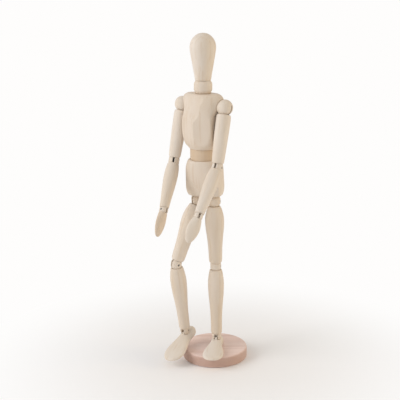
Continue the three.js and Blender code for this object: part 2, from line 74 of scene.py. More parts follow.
def buildPlaces():
    s, a, place = spans, stance, {"base": Matrix.Identity(4)}
    seat = shift(s["pegX"], s["pegY"], s["soleSeat"])
    place["leftFoot"] = seat @ turn("Z", a["footTurn"]) @ shift(0, 0, s["ankleHeight"])
    place["leftAnkle"] = place["leftFoot"] @ turn("X", a["leftAnkle"])
    shinFoot = place["leftAnkle"] @ turn("Z", a["leftAnkleTurn"])
    place["leftShin"] = shinFoot @ shift(0, 0, s["shin"])
    place["leftKnee"] = place["leftShin"]
    place["leftThigh"] = place["leftKnee"] @ turn("X", a["leftKnee"]) @ shift(0, 0, s["thigh"])
    place["leftHip"] = place["leftThigh"] @ turn("X", a["leftHipBend"])
    place["pelvis"] = place["leftHip"] @ turn("Z", a["leftHipTurn"]) @ shift(-s["hipOffset"], 0, 0)
    place["rightHip"] = place["pelvis"] @ shift(-s["hipOffset"], 0, 0) @ turn("Z", a["rightHipTurn"])
    place["rightThigh"] = place["rightHip"] @ turn("X", a["rightHipBend"])
    place["rightKnee"] = place["rightThigh"] @ shift(0, 0, -s["thigh"]) @ turn("X", a["rightKnee"] / 2)
    place["rightShin"] = place["rightKnee"] @ turn("X", a["rightKnee"] / 2)
    place["rightAnkle"] = place["rightShin"] @ shift(0, 0, -s["shin"]) @ turn("Z", a["rightAnkleTurn"])
    place["rightFoot"] = place["rightAnkle"] @ turn("X", a["rightAnkle"])
    place["waist"] = place["pelvis"] @ shift(0, 0, s["pelvis"]) @ turn("Y", a["waistSide"])
    place["chest"] = place["waist"] @ turn("X", a["waistBend"]) @ turn("Z", a["waistTwist"])
    place["neck"] = place["chest"] @ shift(0, 0, s["chest"]) @ turn("Y", a["neckSide"])
    place["head"] = place["neck"] @ turn("X", a["neckNod"]) @ turn("Z", a["neckTurn"])
    for side, sign in (("left", 1), ("right", -1)):
        socket = shift(sign * s["shoulderOffset"], 0, s["shoulderHeight"])
        ball = place["chest"] @ socket @ turn("X", a[side + "Spin"])
        hook = ball @ turn("Y", -sign * a[side + "Swing"])
        arm = hook @ turn("Z", a[side + "Twist"])
        elbow = arm @ shift(0, 0, -s["upperArm"]) @ turn("X", a[side + "Elbow"] / 2)
        fore = elbow @ turn("X", a[side + "Elbow"] / 2)
        wrist = fore @ shift(0, 0, -s["forearm"]) @ turn("Z", a[side + "Turn"])
        palm = wrist @ turn("X", a[side + "Hand"])
        place.update({
            side + "Shoulder": ball, side + "UpperArm": arm, side + "Elbow": elbow,
            side + "Forearm": fore, side + "Wrist": wrist, side + "Hand": palm,
        })
    return place


places = buildPlaces()


# Smooth line through rows of numbers, for turned outlines and the levels of carved blocks
def smoothLine(points, steps):
    line = []
    for i in range(len(points) - 1):
        rows = [points[max(i - 1, 0)], points[i], points[i + 1], points[min(i + 2, len(points) - 1)]]
        for k in range(steps):
            t = k / steps
            line.append(tuple(
                0.5 * (2 * b + (c - a) * t + (2 * a - 5 * b + 4 * c - d) * t * t + (3 * b - a - 3 * c + d) * t ** 3)
                for a, b, c, d in zip(*rows)))
    line.append(tuple(points[-1]))
    return line


# Arc of a hollow ball seen from the side, from one radius to another, on the side given by up
def cupLine(size, centre, fromRadius, toRadius, up, steps=10):
    a0, a1 = math.asin(fromRadius / size), math.asin(min(toRadius / size, 1))
    angles = [a0 + (a1 - a0) * k / steps for k in range(steps + 1)]
    return [(size * math.sin(angle), centre + up * size * math.cos(angle)) for angle in angles]


# Lathe: an outline of (radius, height) points turned about the piece's own upright line
def lathe(outline, closed=False, steps=64):
    bm = bmesh.new()
    verts = [bm.verts.new((r, 0, z)) for r, z in outline]
    edges = [bm.edges.new(pair) for pair in zip(verts, verts[1:])]
    if closed:
        edges.append(bm.edges.new((verts[-1], verts[0])))
    bmesh.ops.spin(bm, geom=verts + edges, cent=(0, 0, 0), axis=(0, 0, 1), angle=2 * math.pi,
                   steps=steps, use_merge=True)
    bmesh.ops.remove_doubles(bm, verts=bm.verts, dist=1e-4)
    bmesh.ops.recalc_face_normals(bm, faces=bm.faces)
    return bm


# Tools that cut or add: rods, slabs and balls
def rodTool(radius, low, high, along="Z", farRadius=None, segments=32):
    bm = bmesh.new()
    bmesh.ops.create_cone(bm, cap_ends=True, segments=segments, radius1=radius,
                          radius2=farRadius or radius, depth=high - low)
    bmesh.ops.translate(bm, verts=bm.verts, vec=(0, 0, (low + high) / 2))
    if along == "X":
        bmesh.ops.rotate(bm, verts=bm.verts, cent=(0, 0, 0), matrix=Matrix.Rotation(math.pi / 2, 3, "Y"))
    if along == "Y":
        bmesh.ops.rotate(bm, verts=bm.verts, cent=(0, 0, 0), matrix=Matrix.Rotation(-math.pi / 2, 3, "X"))
    return bm


def slabTool(low, high):
    bm = bmesh.new()
    bmesh.ops.create_cube(bm, size=1)
    size = Vector(high) - Vector(low)
    bmesh.ops.scale(bm, verts=bm.verts, vec=size)
    bmesh.ops.translate(bm, verts=bm.verts, vec=(Vector(high) + Vector(low)) / 2)
    return bm


def ballTool(radius, at=(0, 0, 0)):
    bm = bmesh.new()
    bmesh.ops.create_uvsphere(bm, u_segments=64, v_segments=32, radius=radius)
    bmesh.ops.translate(bm, verts=bm.verts, vec=at)
    return bm


def meshOf(bm, name):
    mesh = bpy.data.meshes.new(name)
    bm.to_mesh(mesh)
    bm.free()
    return mesh


def looseObject(bm, name):
    obj = bpy.data.objects.new(name, meshOf(bm, name))
    bpy.context.scene.collection.objects.link(obj)
    return obj


def applied(obj):
    bpy.context.view_layer.update()
    mesh = bpy.data.meshes.new_from_object(obj.evaluated_get(bpy.context.evaluated_depsgraph_get()))
    old = obj.data
    obj.modifiers.clear()
    obj.data = mesh
    bpy.data.meshes.remove(old)


# Knife work: cut tools out of a blank, add tongues, then sand the edges round
def carve(bm, name, cuts=(), adds=(), lastCuts=(), grit=0.3, passes=5):
    obj = looseObject(bm, name)
    stages = (("cut", cuts, "DIFFERENCE"), ("add", adds, "UNION"), ("trim", lastCuts, "DIFFERENCE"))
    for stage, tools, mode in stages:
        for index, tool in enumerate(tools):
            cutter = looseObject(tool, f"{stage}Tool{index}")
            cut = obj.modifiers.new(stage, "BOOLEAN")
            cut.operation, cut.solver, cut.object = mode, "EXACT", cutter
            applied(obj)
            data = cutter.data
            bpy.data.objects.remove(cutter)
            bpy.data.meshes.remove(data)
    sand = obj.modifiers.new("sand", "REMESH")
    sand.mode, sand.voxel_size, sand.adaptivity = "VOXEL", grit, 0.0
    polish = obj.modifiers.new("polish", "SMOOTH")
    polish.factor, polish.iterations = 0.5, passes
    applied(obj)
    result = bmesh.new()
    result.from_mesh(obj.data)
    data = obj.data
    bpy.data.objects.remove(obj)
    bpy.data.meshes.remove(data)
    return result


# Passes a finished shape to the frame: grain line and tone, with the stand's side painted darker as shade, place, body
# and the node it stands for
def deliver(bm, name, placeName, body, node, material, seed, tone=0.3, along="Z"):
    obj = looseObject(bm, name)
    mesh = obj.data
    mesh.shade_smooth()
    grain = mesh.attributes.new("grainLine", "FLOAT_VECTOR", "POINT")
    offset = Vector((seed * 0.137 % 1, seed * 0.311 % 1, seed * 0.057 % 1))
    values = []
    for vert in mesh.vertices:
        x, y, z = vert.co * 0.001
        values.extend(Vector({"Z": (x, y, z), "Y": (x, z, y), "X": (y, z, x)}[along]) + offset)
    grain.data.foreach_set("vector", values)
    # mask of edges and grooves: it wears edges lighter and paints shade into grooves, slits and cup rims
    wearAndShade = mesh.attributes.new("edgeWearAndCreaseShade", "FLOAT", "POINT")
    wearAndShade.data.foreach_set("value", edgeMask(mesh))
    toneAndSideShade = mesh.attributes.new("tone", "FLOAT", "POINT")
    sides = [1.0] * len(mesh.vertices)
    if node == "base":  # the stand's side is painted darker as shade, not its flat faces
        sides = [1 - min(abs(vert.normal.z), 1) for vert in mesh.vertices]
    toneAndSideShade.data.foreach_set("value", [tone * side for side in sides])
    mesh.transform(toMetres @ places[placeName])
    mesh.materials.append(material)
    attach(obj, body)
    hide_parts(node)
    low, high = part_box(node)
    drift = 0.0
    for i in range(3):
        row = [vert.co[i] for vert in mesh.vertices]
        drift = max(drift, abs(min(row) - low[i]), abs(max(row) - high[i]))
    print(f"{name}: {len(mesh.polygons)} faces, {drift * 1000:.2f} mm from the solid's box")
    return obj


wearAndShadeMask = dict(flat=0.5, gain=0.55, plainBulge=0.04, spreads=2)


# How far each point stands proud of or sinks below its neighbours: 0.5 is flat, 1 an edge, 0 a groove; edges are worn
# lighter from it and grooves get painted shade
def edgeMask(mesh):
    d = wearAndShadeMask
    count = len(mesh.vertices)
    total = [Vector() for _ in range(count)]
    number = [0] * count
    reach = [0.0] * count
    for edge in mesh.edges:
        i, j = edge.vertices
        a, b = mesh.vertices[i].co, mesh.vertices[j].co
        total[i] += b
        total[j] += a
        length = (a - b).length
        reach[i] += length
        reach[j] += length
        number[i] += 1
        number[j] += 1
    mask = []
    for i, vert in enumerate(mesh.vertices):
        if not number[i] or reach[i] < 1e-9:
            mask.append(d["flat"])
            continue
        bulge = (vert.co - total[i] / number[i]).dot(vert.normal) / (reach[i] / number[i]) ** 2
        mask.append(min(max(d["flat"] + d["gain"] * (bulge - d["plainBulge"]), 0), 1))
    for _ in range(d["spreads"]):
        spread = [0.0] * count
        for edge in mesh.edges:
            i, j = edge.vertices
            spread[i] += mask[j]
            spread[j] += mask[i]
        mask = [0.5 * m + 0.5 * s / n if n else m for m, s, n in zip(mask, spread, number)]
    return mask


# Materials
def socketGroup(name, inputs, outputs):
    group = bpy.data.node_groups.new(name, "ShaderNodeTree")
    for label, kind, value in inputs:
        socket = group.interface.new_socket(label, in_out="INPUT", socket_type=kind)
        socket.default_value = value
    for label, kind in outputs:
        group.interface.new_socket(label, in_out="OUTPUT", socket_type=kind)
    return group, group.nodes.new("NodeGroupInput"), group.nodes.new("NodeGroupOutput")


def addNode(tree, kind, **settings):
    node = tree.nodes.new(kind)
    for key, value in settings.items():
        setattr(node, key, value)
    return node


# each layer of the grain: stretch along the piece, scale, and where its steps start and end;
# None takes the value from the group's own inputs
grainLayers = dict(
    Streaks=(0.035, None, None, 0.75), Drift=(0.2, 70.0, 0.3, 0.7), Pores=(0.08, 2200.0, 0.6, 0.75),
)
grainDetail = 2.0


# Fine streaks, soft drift of colour, and short pores, all stretched along the piece
def makeGrainGroup():
    group, start, end = socketGroup(
        "woodGrain",
        [("Place", "NodeSocketVector", (0, 0, 0)), ("Streak Scale", "NodeSocketFloat", 400.0),
         ("Streak Edge", "NodeSocketFloat", 0.5)],
        [(label, "NodeSocketFloat") for label in grainLayers],
    )
    link = group.links.new

    def stretchedNoise(stretch, scale):
        place = addNode(group, "ShaderNodeMapping")
        place.inputs["Scale"].default_value = (1.0, 1.0, stretch)
        link(start.outputs["Place"], place.inputs["Vector"])
        noise = addNode(group, "ShaderNodeTexNoise")
        noise.inputs["Detail"].default_value = grainDetail
        if scale is None:
            link(start.outputs["Streak Scale"], noise.inputs["Scale"])
        else:
            noise.inputs["Scale"].default_value = scale
        link(place.outputs["Vector"], noise.inputs["Vector"])
        return noise.outputs["Fac"]

    def stepped(value, low, high):
        ramp = addNode(group, "ShaderNodeMapRange", interpolation_type="SMOOTHSTEP")
        if low is None:
            link(start.outputs["Streak Edge"], ramp.inputs["From Min"])
        else:
            ramp.inputs["From Min"].default_value = low
        ramp.inputs["From Max"].default_value = high
        link(value, ramp.inputs["Value"])
        return ramp.outputs["Result"]

    for label, (stretch, scale, low, high) in grainLayers.items():
        link(stepped(stretchedNoise(stretch, scale), low, high), end.inputs[label])
    return group


def linear(red, green, blue):
    def one(c):
        c /= 255
        return c / 12.92 if c <= 0.04045 else ((c + 0.055) / 1.055) ** 2.4
    return (one(red), one(green), one(blue), 1.0)


def mixColour(tree, factor, first, second, blend="MIX"):
    mix = addNode(tree, "ShaderNodeMix", data_type="RGBA", blend_type=blend)
    for source, index in ((factor, 0), (first, 6), (second, 7)):
        if isinstance(source, (tuple, float)):
            mix.inputs[index].default_value = source
        else:
            tree.links.new(source, mix.inputs[index])
    return mix.outputs[2]


def scaled(tree, source, factor):
    node = addNode(tree, "ShaderNodeMath", operation="MULTIPLY", use_clamp=True)
    tree.links.new(source, node.inputs[0])
    node.inputs[1].default_value = factor
    return node.outputs[0]


woodGrain = makeGrainGroup()
# where the painted shade darkens grooves and rims, and where worn edges turn lighter
woodSurface = dict(
    paintedShadeFrom=0.42, paintedShadeTo=0.15, rubFrom=0.62, rubTo=0.92, roughSpread=0.06,
    poreHeight=-0.7, bumpDistance=0.0001, specular=0.3,
)


def makeWood(name, look):
    d = woodSurface
    material = bpy.data.materials.new(name)
    material.use_nodes = True
    tree = material.node_tree
    link = tree.links.new
    shader = tree.nodes["Principled BSDF"]
    place = addNode(tree, "ShaderNodeAttribute", attribute_name="grainLine")
    wearAndShade = addNode(tree, "ShaderNodeAttribute", attribute_name="edgeWearAndCreaseShade")
    tone = addNode(tree, "ShaderNodeAttribute", attribute_name="tone")
    grain = addNode(tree, "ShaderNodeGroup", node_tree=woodGrain)
    grain.inputs["Streak Scale"].default_value = look["streakScale"]
    grain.inputs["Streak Edge"].default_value = look["streakEdge"]
    link(place.outputs["Vector"], grain.inputs["Place"])

    def ranged(source, fromMin, fromMax, toMin, toMax):
        node = addNode(tree, "ShaderNodeMapRange")
        limits = (("From Min", fromMin), ("From Max", fromMax), ("To Min", toMin), ("To Max", toMax))
        for label, value in limits:
            node.inputs[label].default_value = value
        link(source, node.inputs["Value"])
        return node.outputs["Result"]

    colour = look["pale"]
    for source, strength, second in (
        (grain.outputs["Drift"], "driftStrength", "warm"), (tone.outputs["Fac"], "toneStrength", "toned"),
        (grain.outputs["Streaks"], "streakStrength", "streak"), (grain.outputs["Pores"], "poreStrength", "pore"),
    ):
        colour = mixColour(tree, scaled(tree, source, look[strength]), colour, look[second])
    # painted shade: grooves, slits and cup rims are darkened toward a dark colour, where shade falls
    paintedCreaseShade = ranged(wearAndShade.outputs["Fac"], d["paintedShadeFrom"], d["paintedShadeTo"], 0.0, look["paintedCreaseShade"])
    colour = mixColour(tree, paintedCreaseShade, colour, look["paintedShadeColour"])
    rub = ranged(wearAndShade.outputs["Fac"], d["rubFrom"], d["rubTo"], 0.0, look["rub"])
    colour = mixColour(tree, rub, colour, look["rubbed"])
    link(colour, shader.inputs["Base Color"])
    smooth, coarse = look["rough"] - d["roughSpread"], look["rough"] + d["roughSpread"]
    link(ranged(grain.outputs["Drift"], 0.0, 1.0, smooth, coarse), shader.inputs["Roughness"])
    height = addNode(tree, "ShaderNodeMath", operation="MULTIPLY_ADD")
    link(grain.outputs["Pores"], height.inputs[0])
    height.inputs[1].default_value = d["poreHeight"]
    link(grain.outputs["Streaks"], height.inputs[2])
    bump = addNode(tree, "ShaderNodeBump")
    bump.inputs["Strength"].default_value = look["bump"]
    bump.inputs["Distance"].default_value = d["bumpDistance"]
    link(height.outputs[0], bump.inputs["Height"])
    link(bump.outputs["Normal"], shader.inputs["Normal"])
    shader.inputs["Specular IOR Level"].default_value = d["specular"]
    return material


# in both woods the dark colour and its strength paint shade into grooves and rims
limewood = makeWood("turnedLimewood", dict(
    pale=linear(229, 219, 207), warm=linear(221, 206, 186), toned=linear(205, 178, 145),
    streak=linear(200, 170, 132), pore=linear(182, 154, 124), paintedShadeColour=linear(88, 68, 50), rubbed=linear(232, 225, 217),
    streakScale=420.0, streakEdge=0.5, driftStrength=0.6, toneStrength=0.45, streakStrength=0.26, poreStrength=0.12,
    paintedCreaseShade=0.8, rub=0.25, rough=0.55, bump=0.25,
))
# beech is only on the stand; its toned colour paints the stand's side darker as shade
beech = makeWood("rosyBeech", dict(
    pale=linear(238, 214, 203), warm=linear(230, 202, 190), toned=linear(166, 127, 108),
    streak=linear(194, 154, 134), pore=linear(158, 116, 96), paintedShadeColour=linear(120, 84, 66), rubbed=linear(226, 204, 193),
    streakScale=260.0, streakEdge=0.48, driftStrength=0.7, toneStrength=0.6, streakStrength=0.35, poreStrength=0.25,
    paintedCreaseShade=0.6, rub=0.35, rough=0.5, bump=0.3,
))


steelLook = dict(colour=(128, 126, 122), shade=0.8, roughness=0.42, roughSpread=0.1, scale=900.0, detail=3.0)
steelEndings = ("peg", "spring", "stud", "pin", "hook", "strap", "link")


def makeSteel(name, look):
    material = bpy.data.materials.new(name)
    material.use_nodes = True
    tree = material.node_tree
    shader = tree.nodes["Principled BSDF"]
    place = addNode(tree, "ShaderNodeTexCoord")
    drawn = addNode(tree, "ShaderNodeTexNoise")
    drawn.inputs["Scale"].default_value = look["scale"]
    drawn.inputs["Detail"].default_value = look["detail"]
    tree.links.new(place.outputs["Object"], drawn.inputs["Vector"])
    dark = linear(*[c * look["shade"] for c in look["colour"]])
    tone = mixColour(tree, drawn.outputs["Fac"], dark, linear(*look["colour"]))
    tree.links.new(tone, shader.inputs["Base Color"])
    rough = addNode(tree, "ShaderNodeMapRange")
    rough.inputs["To Min"].default_value = look["roughness"] - look["roughSpread"]
    rough.inputs["To Max"].default_value = look["roughness"] + look["roughSpread"]
    tree.links.new(drawn.outputs["Fac"], rough.inputs["Value"])
    tree.links.new(rough.outputs["Result"], shader.inputs["Roughness"])
    shader.inputs["Metallic"].default_value = 1.0
    return material


steel = makeSteel("dullSteel", steelLook)
for nodeName, node in nodes.items():
    if nodeName.rsplit("_", 1)[-1] in steelEndings:
        node.data.materials.clear()
        node.data.materials.append(steel)
print("materials made")

# Stand: rings are radii on its flat faces and heights up its side
stand = dict(
    radius=32.0, thickness=10.5, topRound=1.4, footRound=0.8, pegHole=1.8, holeDepth=7.3,
    flatRings=(0, 8, 16, 24, 29), sideRings=(4.0, 7.0), cornerSteps=6, footAngles=(0, 0.4, 0.8, 1.2, math.pi / 2),
)


def makeStand():
    d = stand
    radius, thickness, topRound, footRound = d["radius"], d["thickness"], d["topRound"], d["footRound"]
    corner = []
    for k in range(d["cornerSteps"] + 1):
        angle = math.pi / 2 * k / d["cornerSteps"]
        corner.append((radius - topRound * (1 - math.cos(angle)), thickness - topRound * (1 - math.sin(angle))))
    foot = [(radius - footRound * (1 - math.sin(a)), footRound * (1 - math.cos(a))) for a in d["footAngles"]]
    flat = [(r, 0.0) for r in d["flatRings"]]
    sides = [(radius, z) for z in d["sideRings"]]
    top = [(r, thickness) for r in reversed(d["flatRings"])]
    bm = lathe(flat + foot + sides + corner + top, steps=128)
    hole = rodTool(d["pegHole"], thickness - d["holeDepth"], thickness + 1)
    bmesh.ops.translate(hole, verts=hole.verts, vec=(spans["pegX"], spans["pegY"], 0))
    return carve(bm, "standBlank", [hole], grit=0.45, passes=4)


# tone 1.0 paints the stand's side darker as shade
deliver(makeStand(), "stand", "base", "base", "base", beech, 3, 1.0, "X")

# Turned limbs: outline is (distance from the upper joint, radius)
upperArm = dict(
    span=spans["upperArm"], topCup=7.55, bottomCup=5.75,
    outline=[
        (6.2, 5.5), (6.45, 6.0), (7.2, 6.4), (11, 6.7), (22, 6.55),
        (34, 6.15), (44, 5.8), (48.2, 5.55), (49.6, 5.25), (50.1, 4.9),
    ],
    topBore=(1.75, 24.0), bottomBore=(1.75, 22.2),
)
forearm = dict(
    span=spans["forearm"], topCup=5.75, bottomCup=4.45,
    outline=[
        (3.6, 4.9), (3.9, 5.3), (4.7, 5.6), (9, 6.2), (15, 6.5), (23, 6.25),
        (32, 5.55), (41, 4.75), (46.6, 4.4), (47.5, 4.2), (47.9, 3.9),
    ],
    topBore=(1.75, 22.2), bottomBore=(2.0, 15.9),
)
thigh = dict(
    span=spans["thigh"], topCup=6.65, bottomCup=5.85,
    outline=[
        (5.3, 5.2), (5.5, 5.7), (6.2, 6.2), (10, 7.6), (15, 8.7), (20, 9.1), (27, 8.8),
        (36, 7.75), (47, 6.85), (57, 6.5), (60.2, 6.2), (61.5, 5.7), (62, 5.1),
    ],
    topBore=(1.75, 33.0), bottomBore=(1.75, 33.0),
)
shin = dict(
    span=spans["shin"], topCup=5.85, bottomCup=5.15,
    outline=[
        (3.6, 5.1), (3.9, 5.6), (4.6, 6.1), (9, 7.0), (15, 7.7), (21, 7.8), (30, 7.35),
        (40, 6.45), (50, 5.8), (60, 5.5), (67.6, 5.4), (69.2, 5.15), (69.7, 4.7),
    ],
    topBore=(1.75, 22.3), bottomBore=(2.3, 16.6),
)


def makeLimb(d):
    span = d["span"]
    outer = [(r, -drop) for drop, r in smoothLine(d["outline"], 5)]
    topRim, bottomRim = d["outline"][0], d["outline"][-1]
    topEdge = math.sqrt(d["topCup"] ** 2 - topRim[0] ** 2)
    bottomEdge = math.sqrt(d["bottomCup"] ** 2 - (span - bottomRim[0]) ** 2)
    topHole, topDepth = d["topBore"]
    lowHole, lowDepth = d["bottomBore"]
    topWall = cupLine(d["topCup"], 0, topHole, topEdge, -1)
    lowWall = cupLine(d["bottomCup"], -span, bottomEdge, lowHole, 1)
    if topDepth + lowDepth > span:  # the bores meet
        return lathe(topWall + outer + lowWall, closed=True)
    start = [(0, -topDepth), (topHole, -topDepth)]
    finish = [(lowHole, -span + lowDepth), (0, -span + lowDepth)]
    return lathe(start + topWall + outer + lowWall + finish)


# each limb: name, node, shape, tone
limbs = (
    ("UpperArm", "upper_arm", upperArm, 0.15), ("Forearm", "forearm", forearm, 0.2),
    ("Thigh", "thigh", thigh, 0.4), ("Shin", "shin", shin, 0.45),
)
seed = 10
for side in ("left", "right"):
    for label, nodeEnd, d, tone in limbs:
        node = f"{side}_{nodeEnd}"
        deliver(makeLimb(d), side + label, side + label, node, node, limewood, seed, tone)
        seed += 1
print("limbs turned")

# Beads: radius is the ball that rides in the cups, girth is what the lathe left round the middle
slit = dict(width=1.7, back=2.4, bridge=1.5, pinHole=1.02)
beads = dict(
    knee=(5.7, 5.3), hip=(6.5, 6.1), elbow=(5.6, 5.1), wrist=(4.3, 4.1), ankle=(5.0, 4.8),
    shoulder=(7.4, 7.4), neck=(8.8, 8.4), waist=(13.6, 12.9),
)
girthCrown = 0.03  # how far the turned middle falls off toward its widest line
forks = dict(
    wrist=dict(width=1.8, tenon=1.7, tenonTop=15.3), ankle=dict(width=3.2, tenon=2.0, tenonTop=16.0),
    root=1.5, top=2.2,
)
shoulder = dict(studHole=1.75, pinFront=-5.0, pinPlay=0.3)
throughBore = dict(narrowest=2.8, endPlay=0.2, rim=0.25, neckMouth=6.0, waistMouth=7.4)


def beadLine(radius, girth, steps=36):
    line = []
    for k in range(steps + 1):
        angle = math.pi * (k / steps - 0.5)
        across = radius * math.cos(angle)
        if across > girth:
            across = girth * (1 - girthCrown * max(0, across / girth - 1))
        line.append((across, radius * math.sin(angle)))
    return line


def beadBlank(radius, girth):
    outline = beadLine(radius, girth)
    outline[0], outline[-1] = (0, -radius), (0, radius)
    return lathe(outline)


kneeBodies = dict(left="left_shin", right="right_thigh")  # what each knee bead is fixed to


def makeSlitBead(kind, turned=False, bridged=False):
    radius, girth = beads[kind]
    half, far = slit["width"] / 2, radius + 1
    tools = [slabTool((-half, -far, -far), (half, slit["back"], far)), rodTool(slit["pinHole"], -far, far, "X")]
    if bridged:
        tools.append(slabTool((-half, 0, slit["bridge"]), (half, far, far)))
        tools.append(slabTool((-half, 0, -far), (half, far, -slit["bridge"])))
    bm = carve(beadBlank(radius, girth), "beadBlank", tools, grit=0.2, passes=3)
    if turned:
        bmesh.ops.rotate(bm, verts=bm.verts, cent=(0, 0, 0), matrix=Matrix.Rotation(math.pi, 3, "Z"))
    return bm


def makeForkBead(kind):
    radius, girth = beads[kind]
    d, far = forks[kind], radius + 1
    half, tenon = d["width"] / 2, rodTool(d["tenon"], radius - forks["root"], d["tenonTop"])
    return carve(beadBlank(radius, girth), "forkBlank", [], [tenon], [
        slabTool((-half, -far, -far), (half, far, forks["top"])),
        rodTool(slit["pinHole"], -far, far, "X"),
    ], grit=0.2, passes=3)


def makeShoulderBall(sign):
    radius, girth = beads["shoulder"]
    half, far = slit["width"] / 2, radius + 1
    near, away = (-slit["back"], far) if sign > 0 else (-far, slit["back"])
    return carve(beadBlank(radius, girth), "shoulderBlank", [
        slabTool((near, -half, -far), (away, half, slit["back"])),
        rodTool(shoulder["studHole"], -far if sign > 0 else 0, 0 if sign > 0 else far, "X"),
        rodTool(slit["pinHole"], shoulder["pinFront"] - shoulder["pinPlay"], far, "Y"),
    ], grit=0.22, passes=3)


def makeThroughBead(kind, mouth):
    radius, girth = beads[kind]
    d = throughBore
    half, narrow = radius + d["endPlay"], d["narrowest"]

    def boreAt(z):
        return narrow + (mouth - narrow) * abs(z) / half

    outer = [p for p in beadLine(radius, girth) if p[0] > boreAt(p[1]) + d["rim"]]
    top = outer[-1][1]
    inner = [(boreAt(z), z) for z in (top, top * 0.5, 0.0, -top * 0.5, -top)]
    return lathe(outer + inner, closed=True, steps=96)


for side, sign in (("left", 1), ("right", -1)):
    isLeft = side == "left"
    for index, (kind, bm, body, tone) in enumerate((
        ("knee", makeSlitBead("knee", isLeft, not isLeft), kneeBodies[side], 0.25),
        ("hip", makeSlitBead("hip", isLeft), side + "_hip", 0.75),
        ("elbow", makeSlitBead("elbow"), side + "_elbow", 0.1),
        ("wrist", makeForkBead("wrist"), side + "_wrist", 0.2),
        ("ankle", makeForkBead("ankle"), side + "_ankle", 0.5),
    )):
        label = side + kind.title()
        deliver(bm, label + "Bead", label, body, f"{side}_{kind}_bead", limewood, seed + index, tone)
    deliver(makeShoulderBall(sign), side + "ShoulderBall", side + "Shoulder", side + "_shoulder",
            side + "_shoulder_ball", limewood, seed + 5, 0.1)
    seed += 6
for kind, mouth, step, tone in (("neck", "neckMouth", 0, 0.45), ("waist", "waistMouth", 1, 1.5)):
    bm = makeThroughBead(kind, throughBore[mouth])
    deliver(bm, kind + "Bead", kind, kind + "_bead", kind + "_bead", limewood, seed + step, tone)
print("beads cut")

# Head
head = dict(
    cup=8.95, stop=6.0, hole=2.5, holeDepth=13.5, depthScale=1.05,
    outline=[
        (6.0, 7.0), (6.3, 7.25), (7.5, 7.5), (11, 8.0), (17, 9.1), (24, 10.3), (30, 11.3),
        (34.5, 11.8), (38.5, 11.3), (42, 9.7), (44.9, 7.0), (46.7, 3.9), (47.4, 0.0),
    ],
)


def makeHead():
    d = head
    outer = [(max(r, 0), z) for z, r in smoothLine(d["outline"], 6)]
    outer[-1] = (0, d["outline"][-1][0])
    rim = math.sqrt(d["cup"] ** 2 - d["stop"] ** 2)
    wall = cupLine(d["cup"], 0, d["hole"], rim, 1)
    bm = lathe([(0, d["holeDepth"]), (d["hole"], d["holeDepth"])] + wall + outer, steps=72)
    for vert in bm.verts:
        if vert.co.y < 0:
            vert.co.y *= d["depthScale"]
    return bm


deliver(makeHead(), "head", "head", "head", "head", limewood, seed + 2, 0.1)


# Carved block grown ring by ring from a circle: a level is (height, half width, front, back, ridge, squareness)
def growBlock(levels, sides):
    bm = bmesh.new()
    bmesh.ops.create_circle(bm, cap_ends=False, segments=sides, radius=1)
    unit = {v: (v.co.x, v.co.y) for v in bm.verts}
    loop = list(bm.edges)
    bottom = loop
    first = list(bm.verts)

    def setRing(verts, level):
        z, halfWidth, front, back, ridge, square = level
        for v in verts:
            x, y = unit[v]
            across = math.copysign(abs(x) ** (1 - square), x)
            along = math.copysign(abs(y) ** (1 - square), y)
            if y < 0:
                keel = (1 - ridge) * -along + ridge * (1 - abs(across))
                v.co = (halfWidth * across, -front * keel, z)
            else:
                v.co = (halfWidth * across, back * along, z)

    setRing(first, levels[0])
    for level in levels[1:]:
        old = {v: unit[v] for e in loop for v in e.verts}
        grown = bmesh.ops.extrude_edge_only(bm, edges=loop)["geom"]
        newEdges = [g for g in grown if isinstance(g, bmesh.types.BMEdge)]
        newVerts = [g for g in grown if isinstance(g, bmesh.types.BMVert)]
        for v in newVerts:
            partner = next(e.other_vert(v) for e in v.link_edges if e.other_vert(v) in old)
            unit[v] = old[partner]
        setRing(newVerts, level)
        loop = newEdges
    bmesh.ops.contextual_create(bm, geom=bottom)
    bmesh.ops.contextual_create(bm, geom=loop)
    bmesh.ops.recalc_face_normals(bm, faces=bm.faces)
    return bm


# Chest: two front planes meet in a ridge, and a slope is cut across their top
chest = dict(
    waistCup=13.75, neckCup=8.95, shoulderCup=7.55, springHole=2.5, springTop=16.2, crossHalf=11.9, studHole=1.5,
    flare=(6.4, 3.6), flareLow=11.5, flareHigh=3,
    slopeTilt=-19.0, slopeAt=(0, -17.7, 31.5), slopeLow=(-30, -20, -5), slopeHigh=(30, 0, 40),
    levels=[
        (5.4, 13.3, 13.3, 12.8, 0, 0.05), (6.0, 13.7, 13.8, 12.8, 0.02, 0.1), (7.4, 14.2, 14.2, 12.6, 0.06, 0.25),
        (10.5, 15.2, 15.8, 12.2, 0.18, 0.6), (17.5, 15.9, 17.2, 11.6, 0.27, 0.86), (26.5, 15.9, 17.9, 11.4, 0.3, 0.94),
        (33.5, 15.8, 17.8, 11.2, 0.3, 0.92), (38, 16.0, 17.0, 11, 0.3, 0.7), (44.5, 19.6, 14.4, 10.6, 0.28, 0.12),
        (49.5, 21.2, 13.2, 9.8, 0.3, 0.04), (53, 20.2, 11.8, 9.2, 0.25, 0), (54.7, 18, 10.2, 8.6, 0.2, 0),
        (55.5, 16, 9.2, 8, 0.1, 0),
    ],
)
blockSteps, blockSides = 3, 64  # rows from one level to the next, and points round a row


